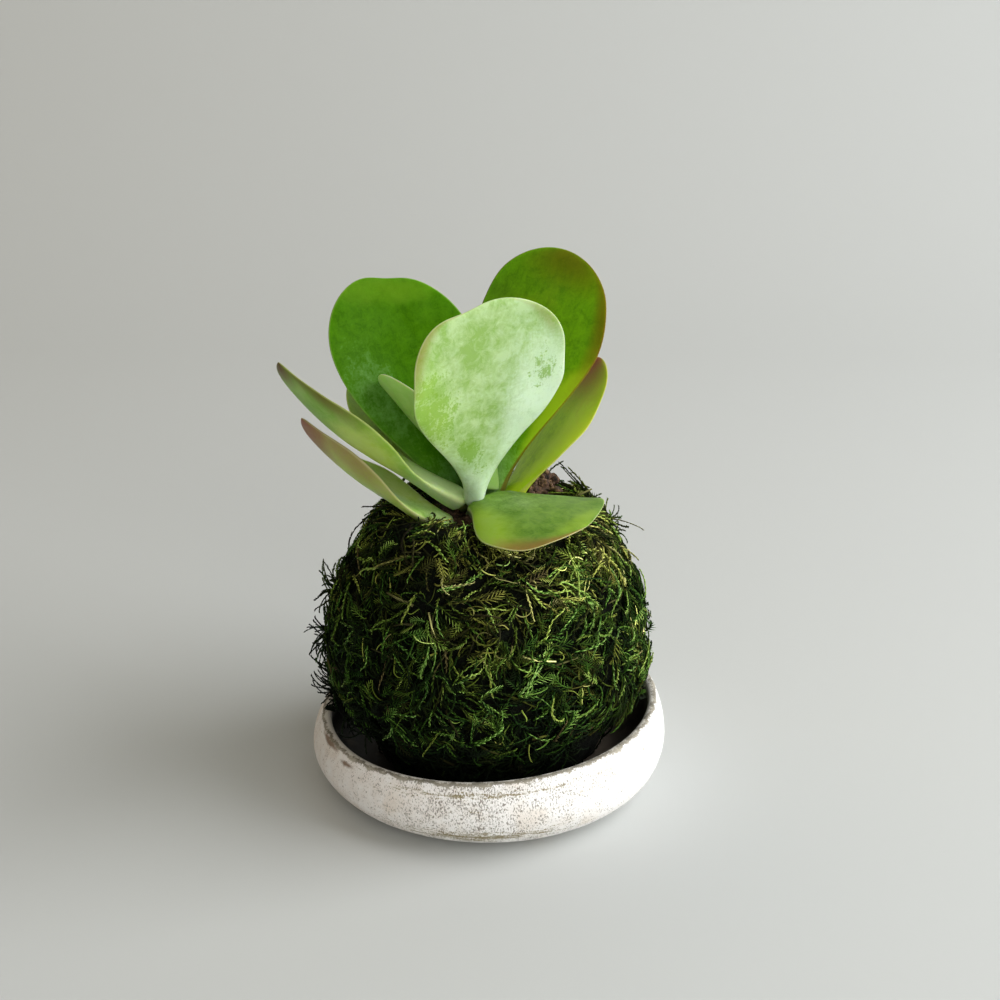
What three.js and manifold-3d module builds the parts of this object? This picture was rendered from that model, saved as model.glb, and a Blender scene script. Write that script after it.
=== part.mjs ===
// Kokedama: a paddle succulent growing from a moss-wrapped ball of soil that sits in a thrown saucer.
// Millimetres, +Z up. The origin is the middle of the saucer's flat foot. -Y is the front.
import * as THREE from 'three';
import { mergeVertices } from 'three/addons/utils/BufferGeometryUtils.js';
import Module from 'manifold-3d';

const wasm = await Module();
wasm.setup();

// ---- driving dimensions -------------------------------------------------------------------------

const GAP = 0.3; // air kept between pieces that touch

const SAUCER = {
  footRadius: 48,
  flare: [11.5, 4.6], // out and up from the foot's edge to where the wall turns steep
  bellyRadius: 65,
  bellyHeight: 17,
  rimRadius: 60.2, // middle of the rounded lip
  lipRadius: 2,
  height: 29.5,
  floor: 7.5, // thickness under the ball
  wellRadius: 48, // about the flat part of the inside
  cove: [5, 2], // out and up from the well's edge, where the inside turns up
  innerRadius: 58.4,
  rimSlope: 0.06, // the thrown rim is this much higher towards +X
  sides: 64,
};

const BALL = {
  restRadius: 32, // flat patch that sits on the saucer
  waistRadius: 58,
  waistHeight: 54,
  shoulderRadius: 39,
  shoulderHeight: 101,
  top: 105.5,
  upperCurve: 2.1, // how late the side turns in above the waist
  mouthRadius: 25, // the moss is open here and shows the soil
  mossThickness: 8,
  sides: 44,
};

const SOIL = {
  rim: 102.5, // height against the moss
  heap: 104, // loose ring between the rim and the stem
  heapRadius: 17,
  hollow: 100, // height at the stem
  hollowRadius: 8,
};

const STEM = {
  x: -4,
  y: 0,
  root: 88,
  top: 111,
  radius: 4.6,
  sides: 20,
};

const LEAF = {
  thickness: 3.2, // through the middle of the blade
  petioleThickness: 6.5,
  marginThickness: 1.4,
  heel: 0.05, // share of the length that rounds the base
  petiole: 0.35, // share of the length over which the petiole thins to the blade
  thinning: 0.5, // where the blade starts to thin towards its tip
  fullness: 0.7, // below 1, the section is fuller than an ellipse
  endFullness: 3, // how soon the full thickness is reached from either end
  notchWidth: 0.3, // of the dent in a tip, as a share of half the width
  ringSides: 16,
  rings: 20,
  spineSteps: 120,
};

// base: where the leaf leaves the stem. azimuth: compass direction, 0 along +X and 90 along +Y.
// sweep: how far the direction turns towards the tip. rise: angle above level at base and tip.
// arch: how late the rise changes. roll and twist turn the blade about its midrib.
// widest, neck, taper, blunt and point shape the outline; cup raises the margins; lean moves the tip aside,
// as a share of the length; notch is the depth of a dent in the tip and dent is where it lies, as a
// share of half the width.
const LEAVES = [
  {
    name: 'front_leaf', colour: 0xa9c98b, base: [-6, -5, 109], length: 88, width: 57,
    azimuth: -68, sweep: -12, rise: [64, 78], arch: 1, roll: 8, twist: 9,
    widest: 0.64, neck: 0.12, taper: 1.2, blunt: 1.6, cup: -0.1, lean: -0.04,
    notch: 2.4, dent: -0.3,
  },
  {
    name: 'back_right_leaf', colour: 0x4f7a17, base: [1, 4, 106], length: 93, width: 55.5,
    azimuth: 43, sweep: 0, rise: [75, 62], arch: 1, roll: 1, twist: 7,
    widest: 0.7, neck: 0.14, taper: 1, blunt: 1.05, cup: -0.05, lean: -0.01,
  },
  {
    name: 'back_left_leaf', colour: 0x4c9a1c, base: [-7, 4, 107], length: 85, width: 50,
    azimuth: 141, sweep: -10, rise: [48, 92], arch: 1, roll: -22, twist: -16,
    widest: 0.71, neck: 0.25, taper: 1, blunt: 0.95, cup: 0, lean: 0.09, notch: 2,
  },
  {
    name: 'left_upper_leaf', colour: 0x8aa05a, base: [-8, -2, 110], length: 87.5, width: 46,
    azimuth: 197, sweep: -11, rise: [30, 62], arch: 2.1, roll: -5, twist: 30,
    widest: 0.6, neck: 0.3, taper: 1, blunt: 0.95, point: 0.75, cup: 0.3, lean: 0.07,
  },
  {
    name: 'right_front_leaf', colour: 0x6f9d45, base: [0, -6, 111], length: 46, width: 55,
    azimuth: -53, sweep: 24, rise: [10, -2], arch: 1, roll: 2, twist: -3,
    widest: 0.64, neck: 0.38, taper: 1, blunt: 1.3, point: 0.65, cup: -0.1, lean: 0.01,
  },
  {
    name: 'right_low_leaf', colour: 0x6a8c1f, base: [3, 2, 103], length: 66, width: 49.5,
    azimuth: 27, sweep: 0, rise: [48, 54], arch: 1, roll: -19, twist: 6,
    widest: 0.65, neck: 0.27, taper: 1, blunt: 1, cup: 0, lean: 0.01,
  },
  {
    name: 'left_lower_leaf', colour: 0x8d8a5c, base: [-12.5, -9, 102], length: 67, width: 29,
    azimuth: 168, sweep: 3, rise: [24, 52], arch: 2.2, roll: -5, twist: 50,
    widest: 0.5, neck: 0.33, taper: 1, blunt: 1.05, point: 0.75, cup: 0.4, lean: 0.1,
  },
  {
    name: 'inner_left_leaf', colour: 0x9ec38d, base: [-1, 1, 112], length: 55, width: 28,
    azimuth: 165, sweep: 5, rise: [44, 49], arch: 1, roll: 37, twist: 5,
    widest: 0.62, neck: 0.3, taper: 1, blunt: 1, cup: 0.2, lean: 0,
  },
  {
    name: 'inner_right_leaf', colour: 0x9ec38d, base: [-2, 1, 113], length: 40, width: 24,
    azimuth: 10, sweep: 0, rise: [74, 80], arch: 1, roll: -20, twist: 0,
    widest: 0.62, neck: 0.4, taper: 1, blunt: 1, cup: 0.2, lean: 0,
  },
  {
    name: 'back_low_leaf', colour: 0x557f1d, base: [-5, 6, 104], length: 66, width: 42,
    azimuth: 142, sweep: 0, rise: [30, 46], arch: 1, roll: 0, twist: 0,
    widest: 0.65, neck: 0.3, taper: 1, blunt: 1, cup: 0.1, lean: 0,
  },
];

// ---- helpers ------------------------------------------------------------------------------------

const radians = THREE.MathUtils.degToRad;
const { lerp, clamp, smoothstep } = THREE.MathUtils;

function material(colour, roughness) {
  return new THREE.MeshStandardMaterial({ color: colour, roughness, metalness: 0 });
}

function bareGeometry(geometry) {
  geometry.deleteAttribute('normal');
  geometry.deleteAttribute('uv');
  return mergeVertices(geometry, 1e-4);
}

function toSolid(geometry) {
  const mesh = new wasm.Mesh({
    numProp: 3,
    vertProperties: geometry.attributes.position.array,
    triVerts: new Uint32Array(geometry.index.array),
  });
  return new wasm.Manifold(mesh);
}

function toGeometry(solid) {
  const { vertProperties, triVerts } = solid.getMesh();
  const geometry = new THREE.BufferGeometry();
  geometry.setAttribute('position', new THREE.BufferAttribute(vertProperties, 3));
  geometry.setIndex(new THREE.BufferAttribute(triVerts, 1));
  geometry.computeVertexNormals();
  return geometry;
}

// The largest of the bodies that a cut leaves.
function mainBody(solid) {
  return solid.decompose().reduce((best, body) => (body.volume() > best.volume() ? body : best));
}

// A body of revolution about Z from a profile of [radius, height] points, first and last on the axis.
function turned(points, sides) {
  const profile = points.map(([radius, height]) => new THREE.Vector2(radius, height));
  return bareGeometry(new THREE.LatheGeometry(profile, sides)).rotateX(Math.PI / 2);
}

function piece(name, geometry, finish) {
  const mesh = new THREE.Mesh(geometry, finish);
  mesh.name = name;
  return mesh;
}

// ---- saucer -------------------------------------------------------------------------------------

// A smooth run of profile points through the given ones, without its end points on the axis.
function smoothProfile(points, count) {
  const curve = new THREE.SplineCurve(points.map(([radius, height]) => new THREE.Vector2(radius, height)));
  return curve.getPoints(count).map(({ x, y }) => [x, y]);
}

function saucerGeometry() {
  const s = SAUCER;
  const outside = smoothProfile(
    [
      [s.footRadius, 0],
      [s.footRadius + s.flare[0], s.flare[1]],
      [s.bellyRadius, s.bellyHeight],
      [s.rimRadius + s.lipRadius, s.height - s.lipRadius],
    ],
    12,
  );
  const lip = [];
  for (let step = 1; step < 5; step += 1) {
    const angle = (step / 5) * Math.PI;
    const radius = s.rimRadius + s.lipRadius * Math.cos(angle);
    lip.push([radius, s.height - s.lipRadius + s.lipRadius * Math.sin(angle)]);
  }
  const inside = smoothProfile(
    [
      [s.innerRadius - 0.2, s.height - s.lipRadius - 0.5],
      [s.innerRadius, s.bellyHeight],
      [s.wellRadius + s.cove[0], s.floor + s.cove[1]],
      [s.wellRadius - 4, s.floor],
    ],
    9,
  );
  const geometry = turned([[0, 0], ...outside, ...lip, ...inside, [0, s.floor]], s.sides);
  const place = geometry.attributes.position;
  for (let i = 0; i < place.count; i += 1) {
    const share = clamp(place.getZ(i) / s.height, 0, 1);
    const wall = smoothstep(Math.hypot(place.getX(i), place.getY(i)), s.wellRadius, s.innerRadius);
    place.setZ(i, place.getZ(i) + s.rimSlope * place.getX(i) * share * share * wall);
  }
  return geometry;
}

// ---- ball ---------------------------------------------------------------------------------------

// Radius of the moss ball's side at a height, from the saucer's floor to the shoulder.
function ballSide(height) {
  const low = SAUCER.floor + GAP;
  const { waistHeight, waistRadius, restRadius, shoulderHeight, shoulderRadius } = BALL;
  if (height < waistHeight) {
    const down = (waistHeight - height) / (waistHeight - low);
    return restRadius + (waistRadius - restRadius) * Math.sqrt(1 - down ** 2);
  }
  const up = (height - waistHeight) / (shoulderHeight - waistHeight);
  return lerp(waistRadius, shoulderRadius, up ** BALL.upperCurve);
}

function mossGeometry() {
  const low = SAUCER.floor + GAP;
  const { shoulderHeight, mossThickness, mouthRadius, top } = BALL;
  const steps = 12;
  const outside = [];
  const inside = [];
  for (let step = 0; step <= steps; step += 1) {
    const height = lerp(low, shoulderHeight, (1 - Math.cos((Math.PI * step) / steps)) / 2);
    outside.push([ballSide(height), height]);
    inside.unshift([
      ballSide(height) - mossThickness,
      lerp(low + mossThickness, shoulderHeight - mossThickness / 2, step / steps),
    ]);
  }
  const mouth = [
    [mouthRadius + 9, top - 0.4],
    [mouthRadius + 4, top],
    [mouthRadius + 0.5, top - 1.2],
    [mouthRadius, top - 4],
  ];
  return turned([[0, low], ...outside, ...mouth, ...inside, [0, low + mossThickness]], BALL.sides);
}

function soilGeometry() {
  const low = SAUCER.floor + GAP;
  const { shoulderHeight, mossThickness, mouthRadius, sides } = BALL;
  const steps = 10;
  const side = [];
  for (let step = 0; step <= steps; step += 1) {
    const height = lerp(low, shoulderHeight, (1 - Math.cos((Math.PI * step) / steps)) / 2);
    side.push([
      ballSide(height) - mossThickness - 2 * GAP,
      lerp(low + mossThickness + 2 * GAP, shoulderHeight - mossThickness / 2 - 2 * GAP, step / steps),
    ]);
  }
  const surface = [
    [mouthRadius - 2 * GAP, SOIL.rim - 1.5],
    [mouthRadius - 3, SOIL.rim],
    [SOIL.heapRadius, SOIL.heap],
    [SOIL.hollowRadius, SOIL.hollow],
  ];
  const bottom = [0, low + mossThickness + 2 * GAP];
  return turned([bottom, ...side, ...surface, [0, SOIL.hollow]], sides);
}

// ---- stem ---------------------------------------------------------------------------------------

function stemGeometry(grow = 0) {
  const { root, top, radius, sides } = STEM;
  const points = [
    [0, root - grow],
    [radius * 0.5 + grow, root - grow],
    [radius * 0.9 + grow, root + 4],
    [radius + grow, root + 12],
    [radius * 0.92 + grow, top - 5],
    [radius * 0.6 + grow, top - 1],
    [0, top + grow],
  ];
  return turned(points, sides).translate(STEM.x, STEM.y, 0);
}

// ---- leaves -------------------------------------------------------------------------------------

// Half the blade's width, as a share of its greatest, at a share s of the way from base to tip.
function outline(leaf, s) {
  const { widest, neck, taper, blunt, point = 0.5 } = leaf;
  const heel = Math.sqrt(1 - clamp(1 - s / LEAF.heel, 0, 1) ** 2);
  if (s < widest) {
    const t = s / widest;
    return heel * (neck + (1 - neck) * (t * t * (3 - 2 * t)) ** taper);
  }
  return Math.max(1 - ((s - widest) / (1 - widest)) ** (2 * blunt), 0) ** point;
}

// Points along the midrib, each with its direction, its sideways direction and the upper face's.
function spine(leaf) {
  const steps = LEAF.spineSteps;
  const at = new THREE.Vector3(...leaf.base);
  const frames = [];
  for (let i = 0; i <= steps; i += 1) {
    const s = i / steps;
    const rise = radians(lerp(leaf.rise[0], leaf.rise[1], s ** leaf.arch));
    const azimuth = radians(leaf.azimuth + leaf.sweep * s ** 1.5);
    const along = new THREE.Vector3(
      Math.cos(rise) * Math.cos(azimuth),
      Math.cos(rise) * Math.sin(azimuth),
      Math.sin(rise),
    );
    const side = new THREE.Vector3(-Math.sin(azimuth), Math.cos(azimuth), 0);
    side.applyAxisAngle(along, radians(leaf.roll + leaf.twist * s));
    const up = new THREE.Vector3().crossVectors(along, side);
    if (i > 0) {
      const before = frames[i - 1].along;
      at.addScaledVector(before.clone().add(along), leaf.length / steps / 2);
    }
    frames.push({ at: at.clone(), along, side, up });
  }
  return frames;
}

// One leaf as a bent, flattened sphere. grow makes it larger all round, to cut its neighbours with.
function leafGeometry(leaf, grow = 0) {
  const half = leaf.width / 2;
  const frames = spine(leaf);
  const geometry = bareGeometry(new THREE.SphereGeometry(1, LEAF.ringSides, LEAF.rings));
  const place = geometry.attributes.position;
  const point = new THREE.Vector3();
  for (let i = 0; i < place.count; i += 1) {
    point.fromBufferAttribute(place, i);
    const s = (1 - clamp(point.y, -1, 1)) / 2;
    const frame = frames[Math.round(s * LEAF.spineSteps)];
    const ring = Math.atan2(point.z, point.x);
    const open = outline(leaf, s);
    const end = Math.min(1, Math.sqrt(Math.max(1 - (2 * s - 1) ** 2, 0)) * LEAF.endFullness);
    const across = Math.cos(ring) * (half * open + grow * end);
    const blade = lerp(LEAF.petioleThickness, LEAF.thickness, smoothstep(s, 0, LEAF.petiole));
    const thick = lerp(blade, LEAF.marginThickness, smoothstep(s, LEAF.thinning, 1)) / 2;
    const bulge = Math.sign(point.z) * Math.abs(Math.sin(ring)) ** LEAF.fullness;
    const through = bulge * (thick + grow) * end;
    const cupped = leaf.cup * (across / half) ** 2 * half * Math.sqrt(Math.sin(Math.PI * s));
    const beside = (across / half - (leaf.dent ?? 0)) / LEAF.notchWidth;
    const dip = (leaf.notch ?? 0) * Math.exp(-(beside ** 2)) * clamp(4 * s - 3, 0, 1) ** 2;
    point.copy(frame.at);
    point.addScaledVector(frame.side, across + leaf.lean * leaf.length * s * s);
    point.addScaledVector(frame.up, through + cupped);
    point.addScaledVector(frame.along, grow * (2 * s - 1) - dip);
    place.setXYZ(i, point.x, point.y, point.z);
  }
  return geometry;
}

// ---- assembly -----------------------------------------------------------------------------------

const plant = new THREE.Group();

plant.add(piece('saucer', saucerGeometry(), material(0xe9e4dc, 0.85)));
plant.add(piece('moss_cover', mossGeometry(), material(0x2f4a16, 1)));

// The stem and the lowest leaf are rooted in the soil.
const rooted = LEAVES.find((leaf) => leaf.name === 'left_lower_leaf');
const soil = toSolid(soilGeometry())
  .subtract(toSolid(stemGeometry(GAP)))
  .subtract(toSolid(leafGeometry(rooted, GAP)));
plant.add(piece('root_ball', toGeometry(mainBody(soil)), material(0x3b2a1e, 1)));
plant.add(piece('stem', stemGeometry(), material(0x8fa86a, 0.6)));

// Each leaf gives way to the stem and to the leaves before it.
const taken = [toSolid(stemGeometry(GAP))];
for (const leaf of LEAVES) {
  let solid = toSolid(leafGeometry(leaf));
  for (const neighbour of taken) {
    solid = solid.subtract(neighbour);
  }
  plant.add(piece(leaf.name, toGeometry(mainBody(solid)), material(leaf.colour, 0.5)));
  taken.push(toSolid(leafGeometry(leaf, GAP)));
}

export default plant;
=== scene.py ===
import logging
import math
from collections.abc import Callable, Iterable
from dataclasses import dataclass, field, replace
from enum import Enum
from functools import partial
from typing import Any

import bmesh
import bpy
import numpy as np
from mathutils import Matrix, Vector, noise


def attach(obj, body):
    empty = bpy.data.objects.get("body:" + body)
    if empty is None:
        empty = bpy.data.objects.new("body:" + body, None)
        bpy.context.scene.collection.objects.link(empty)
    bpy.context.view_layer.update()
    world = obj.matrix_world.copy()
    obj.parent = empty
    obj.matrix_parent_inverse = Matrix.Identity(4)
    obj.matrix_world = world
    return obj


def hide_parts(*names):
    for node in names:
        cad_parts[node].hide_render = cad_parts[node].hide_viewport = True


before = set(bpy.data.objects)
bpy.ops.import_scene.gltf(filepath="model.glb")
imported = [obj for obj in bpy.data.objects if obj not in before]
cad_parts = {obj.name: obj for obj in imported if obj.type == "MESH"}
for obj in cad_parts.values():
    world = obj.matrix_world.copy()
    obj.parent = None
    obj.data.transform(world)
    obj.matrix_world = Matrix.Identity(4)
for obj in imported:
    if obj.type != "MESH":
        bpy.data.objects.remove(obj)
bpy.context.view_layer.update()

log = logging.getLogger("kokedama")

MM = 0.001
BODY = "root"
BAKE_MAP = "OFBake"
GOLDEN_ANGLE = 137.5
DEAD_SHARE, DEAD_TINT = 0.01, 0.97
# Painted shade on the moss: bounds of its darkening towards the left side and towards the foot.
LEFT_SHADE, FOOT_SHADE = (-50.0, -10.0), (28.0, 56.0)  # millimetres along X and up
DEGREES_PER_RADIAN = 57.3
MOSS_ACROSS = 115.0  # the ball's mean diameter in millimetres, whose curve the strands follow
COLOUR_MIX = {"data_type": "RGBA", "out": 2}
TIMES_PLUS = {"operation": "MULTIPLY_ADD"}

Socket = bpy.types.NodeSocket
Piece = bpy.types.Object
Material = bpy.types.Material
BMesh = bmesh.types.BMesh
Array = np.ndarray
Rng = np.random.Generator
Colour = tuple[float, float, float, float]


# ---- shared helpers ----


def linear(hex_code: str) -> Colour:
    """Turn an sRGB hex colour to linear light.

    Args:
        hex_code: Six hex digits, such as "8fa860".

    Returns:
        Red, green, blue and an alpha of 1.
    """
    parts = [int(hex_code[i : i + 2], 16) / 255 for i in (0, 2, 4)]
    red, green, blue = (c / 12.92 if c <= 0.04045 else ((c + 0.055) / 1.055) ** 2.4 for c in parts)
    return red, green, blue, 1.0


def per_mm(size: float) -> float:
    """Give the texture scale whose features are this many millimetres across."""
    return 1 / (size * MM)


def add_node(
    tree: bpy.types.NodeTree, kind: str, inputs: dict[str | int, Any] | None = None,
    stops: Iterable[tuple[float, str]] = (), out: str | int = 0, **settings: Any,
) -> Socket | None:
    """Add a node with its settings and links.

    Args:
        tree: The material's or world's node tree.
        kind: The node's type, without its "ShaderNode".
        inputs: A value, a hex colour or another node's output for each named or numbered input.
        stops: Places and hex colours of a colour ramp.
        out: The output to return.
        settings: The node's own properties.

    Returns:
        The chosen output, or None for a node without outputs.
    """
    node = tree.nodes.new("ShaderNode" + kind)
    for name, value in settings.items():
        setattr(node, name, value)
    for name, value in (inputs or {}).items():
        if isinstance(value, Socket):
            tree.links.new(value, node.inputs[name])
        else:
            node.inputs[name].default_value = linear(value) if isinstance(value, str) else value
    for index, (place, hex_code) in enumerate(stops):
        ramp = node.color_ramp.elements
        stop = ramp[index] if index < 2 else ramp.new(place)
        stop.position = place
        stop.color = linear(hex_code)
    return node.outputs[out] if node.outputs else None


def blank_material(name: str) -> tuple[Material, Callable[..., Socket | None]]:
    """Make a material with an empty node tree, and the call that adds a node to it."""
    material = bpy.data.materials.new(name)
    material.use_nodes = True
    material.node_tree.nodes.clear()
    return material, partial(add_node, material.node_tree)


def ease(value: Array, low: float, high: float) -> Array:
    """Rise smoothly from 0 at low to 1 at high."""
    t = np.clip((np.asarray(value, float) - low) / (high - low), 0, 1)
    return t * t * (3 - 2 * t)


def spun(profile: list[tuple[float, float]], sides: int) -> BMesh:
    """Spin a section of [radius, height] points about Z.

    Args:
        profile: The section, in millimetres, first and last on the axis.
        sides: Steps in the full turn.

    Returns:
        A closed mesh with its faces outward.
    """
    bm = bmesh.new()
    ring = [bm.verts.new((radius, 0.0, height)) for radius, height in profile]
    edges = [bm.edges.new(pair) for pair in zip(ring, ring[1:])]
    bmesh.ops.spin(
        bm, geom=ring + edges, axis=(0, 0, 1), cent=(0, 0, 0), steps=sides, angle=math.tau, use_merge=True
    )
    bmesh.ops.remove_doubles(bm, verts=bm.verts[:], dist=0.01)
    bmesh.ops.recalc_face_normals(bm, faces=bm.faces[:])
    return bm


def rod(bm: BMesh, segments: int, ends: tuple[float, float], length: float, at: Matrix, cuts: int) -> None:
    """Add a capped cone and cut the edges along it.

    Args:
        bm: The mesh to add to, which holds nothing else yet.
        segments: Sides of the cone.
        ends: Its two radii, in millimetres.
        length: Its length, in millimetres.
        at: Its place.
        cuts: Cuts in each long edge.
    """
    bmesh.ops.create_cone(
        bm, cap_ends=True, segments=segments, radius1=ends[0], radius2=ends[1], depth=length, matrix=at
    )
    tall = [edge for edge in bm.edges if edge.calc_length() > length * 0.8]
    bmesh.ops.subdivide_edges(bm, edges=tall, cuts=cuts)


def place_data(name: str, data: bpy.types.ID) -> Piece:
    """Put a mesh, a light or a camera in the scene as an object of that name."""
    piece = bpy.data.objects.new(name, data)
    bpy.context.collection.objects.link(piece)
    return piece


def own_mesh(bm: BMesh, name: str) -> Piece:
    """Turn a bmesh drawn in millimetres into a smooth object in metres.

    Args:
        bm: The mesh, which is freed.
        name: The object's name.

    Returns:
        The object, at the origin.
    """
    bmesh.ops.scale(bm, vec=(MM, MM, MM), verts=bm.verts[:])
    mesh = bpy.data.meshes.new(name)
    bm.to_mesh(mesh)
    bm.free()
    mesh.shade_smooth()
    return place_data(name, mesh)


def paint(piece: Piece, name: str, values: Array) -> None:
    """Store one number per vertex on a piece's mesh for its material to read."""
    layer = piece.data.attributes.new(name, "FLOAT", "POINT")
    layer.data.foreach_set("value", np.asarray(values, np.float32))


def dress(piece: Piece, material: Material, slot: str, *nodes: str) -> None:
    """Give a piece its material and its body, and hide the solids that it stands for.

    Args:
        piece: The finished object.
        material: Its material.
        slot: The record's material slot.
        nodes: The solids that it replaces.
    """
    piece.data.materials.clear()
    piece.data.materials.append(material)
    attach(piece, BODY)
    if nodes:
        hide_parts(*nodes)
    log.info("%s: %d faces for %s", piece.name, len(piece.data.polygons), ", ".join(nodes) or slot)


# ---- finishes ----


@dataclass(frozen=True)
class ClayWash:
    """Unglazed terracotta brushed with a thin chalk wash.

    The wash is matt and pits over the clay's grit, so dark specks show through it, thickest where hands
    have rubbed it. Level scratches let the olive-brown clay through. The lip is worn to mottled clay with
    a pale inner edge, and the damp inside is a dull brown, darkened down into the well as painted shade.
    A beige stain mottles the wash and is laid on thicker towards the left side as painted shade.
    """

    wash: str = "fbf9f7"
    dust: str = "f2ebe3"
    # Partly painted shade: this beige lies over the wash in mottled stains and, more thickly, on the left
    # side.
    stain: str = "dccabb"
    rust: str = "7d6148"
    grit: str = "6a6152"
    scratch: str = "877a50"
    worn_dark: str = "5c5540"
    worn_pale: str = "b4ad9c"
    edge: str = "e2dfd6"
    # Partly painted shade: the damp inside, nearly black down in the well.
    damp_and_shade: str = "17140a"
    scum: str = "5f554a"

    def material(self) -> Material:
        """Build the wash, its specks, stains and scratches, its worn lip, the damp well and the painted
        shade on the left and down in the well.
        """
        made, add = blank_material("whitewashed terracotta")
        place = add("TexCoord", out="Object")
        lip, well, rubbed, band, stained_and_shaded, rusty = (
            add("Attribute", attribute_name=name, out="Fac")
            for name in ("lip", "well", "rubbed", "band", "stained_and_shaded", "rusty")
        )
        upright, level = (
            add("Mapping", {"Vector": place, "Scale": (1.0, 1.0, squeeze)}) for squeeze in (0.6, 11.0)
        )
        patch, blot, grain, brush = (
            add("TexNoise", {"Vector": at, "Scale": per_mm(size), "Detail": detail, "Roughness": rough})
            for at, size, detail, rough in (
                (place, 14.0, 5.0, 0.5), (place, 5.0, 6.0, 0.68), (upright, 0.5, 3.0, 0.7),
                (level, 9.0, 9.0, 0.75),
            )
        )
        mottled, sparse, broken, eaten, rubbing, silt = (
            add("Math", {0: one, 1: share, 2: other}, **TIMES_PLUS)
            for one, share, other in (
                (stained_and_shaded, 0.42, blot), (blot, 0.4, grain), (grain, 0.45, brush), (blot, 0.8, rusty),
                (grain, 0.5, blot), (stained_and_shaded, -0.2, patch),
            )
        )
        dense = add("Math", {0: rubbed, 1: 0.125, 2: sparse}, **TIMES_PLUS)
        along = add("Math", {0: band, 1: 0.24, 2: broken}, **TIMES_PLUS)
        ragged = add("Math", {0: rubbing, 1: 1.1, 2: lip}, **TIMES_PLUS)
        staining_and_shade, specks, scratches, rust, bare, chalky = (
            add("MapRange", {"Value": value, 1: low, 2: high, 4: most})
            for value, low, high, most in (
                (mottled, 0.68, 1.02, 0.38), (dense, 0.83, 0.92, 0.85), (along, 0.845, 0.92, 0.9),
                (eaten, 0.75, 1.15, 0.9), (ragged, 1.08, 1.2, 0.9), (ragged, 1.42, 1.5, 0.85),
            )
        )
        # The lip is mottled grey-beige and olive clay with a ragged lower border.
        worn = add("ValToRGB", {"Fac": rubbing}, stops=[(0.68, self.worn_dark), (0.95, self.worn_pale)])
        # Partly painted shade: the damp inside turns nearly black where the well is deepest.
        wet_and_shaded = add("ValToRGB", {"Fac": silt}, stops=[(0.4, self.damp_and_shade), (0.56, self.scum)])
        colour = add("ValToRGB", {"Fac": patch}, stops=[(0.34, self.dust), (0.5, self.wash)])
        # Painted shade: the stain colour is heavier on the left side, and the damp colour deepens down into
        # the well.
        for share, over in (
            (staining_and_shade, self.stain), (specks, self.grit), (scratches, self.scratch), (rust, self.rust),
            (bare, worn), (chalky, self.edge), (well, wet_and_shaded),
        ):
            colour = add("Mix", {0: share, 6: colour, 7: over}, **COLOUR_MIX)
        rough = add("MapRange", {"Value": well, 3: 0.9, 4: 0.55})
        depth = add("Math", {0: specks, 1: -0.8, 2: brush}, **TIMES_PLUS)
        bump = add("Bump", {"Height": depth, "Strength": 0.35, "Distance": 0.25 * MM})
        shader = add("BsdfPrincipled", {"Base Color": colour, "Roughness": rough, "Normal": bump})
        add("OutputMaterial", {"Surface": shader})
        return made


class MarkKind(Enum):
    """What a mark on a leaf shows."""

    BURN = "burn"
    # Painted light: a brighter green that stands in for light shining through the leaf.
    GLOW = "glow"
    DUST = "dust"
    BARE = "bare"


@dataclass(frozen=True)
class Mark:
    """A soft oval mark on a leaf.

    Attributes:
        kind: Sun-burnt red, a painted glow of light shining through the leaf, thick bloom or bloom rubbed
            off.
        across: Its middle, from -1 at one margin to 1 at the other.
        along: Its middle, from 0 at the base to 1 at the tip.
        wide: Half its width, in the same shares.
        long: Half its length, in the same shares.
        strength: How strong it is in the middle.
    """

    kind: MarkKind
    across: float
    along: float
    wide: float
    long: float
    strength: float = 1.0

    def weight(self, across: Array, along: Array) -> Array:
        """Give how strong the mark is at places on the leaf."""
        away = ((across - self.across) / self.wide) ** 2 + ((along - self.along) / self.long) ** 2
        return self.strength * np.exp(-(away**1.5))


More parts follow.
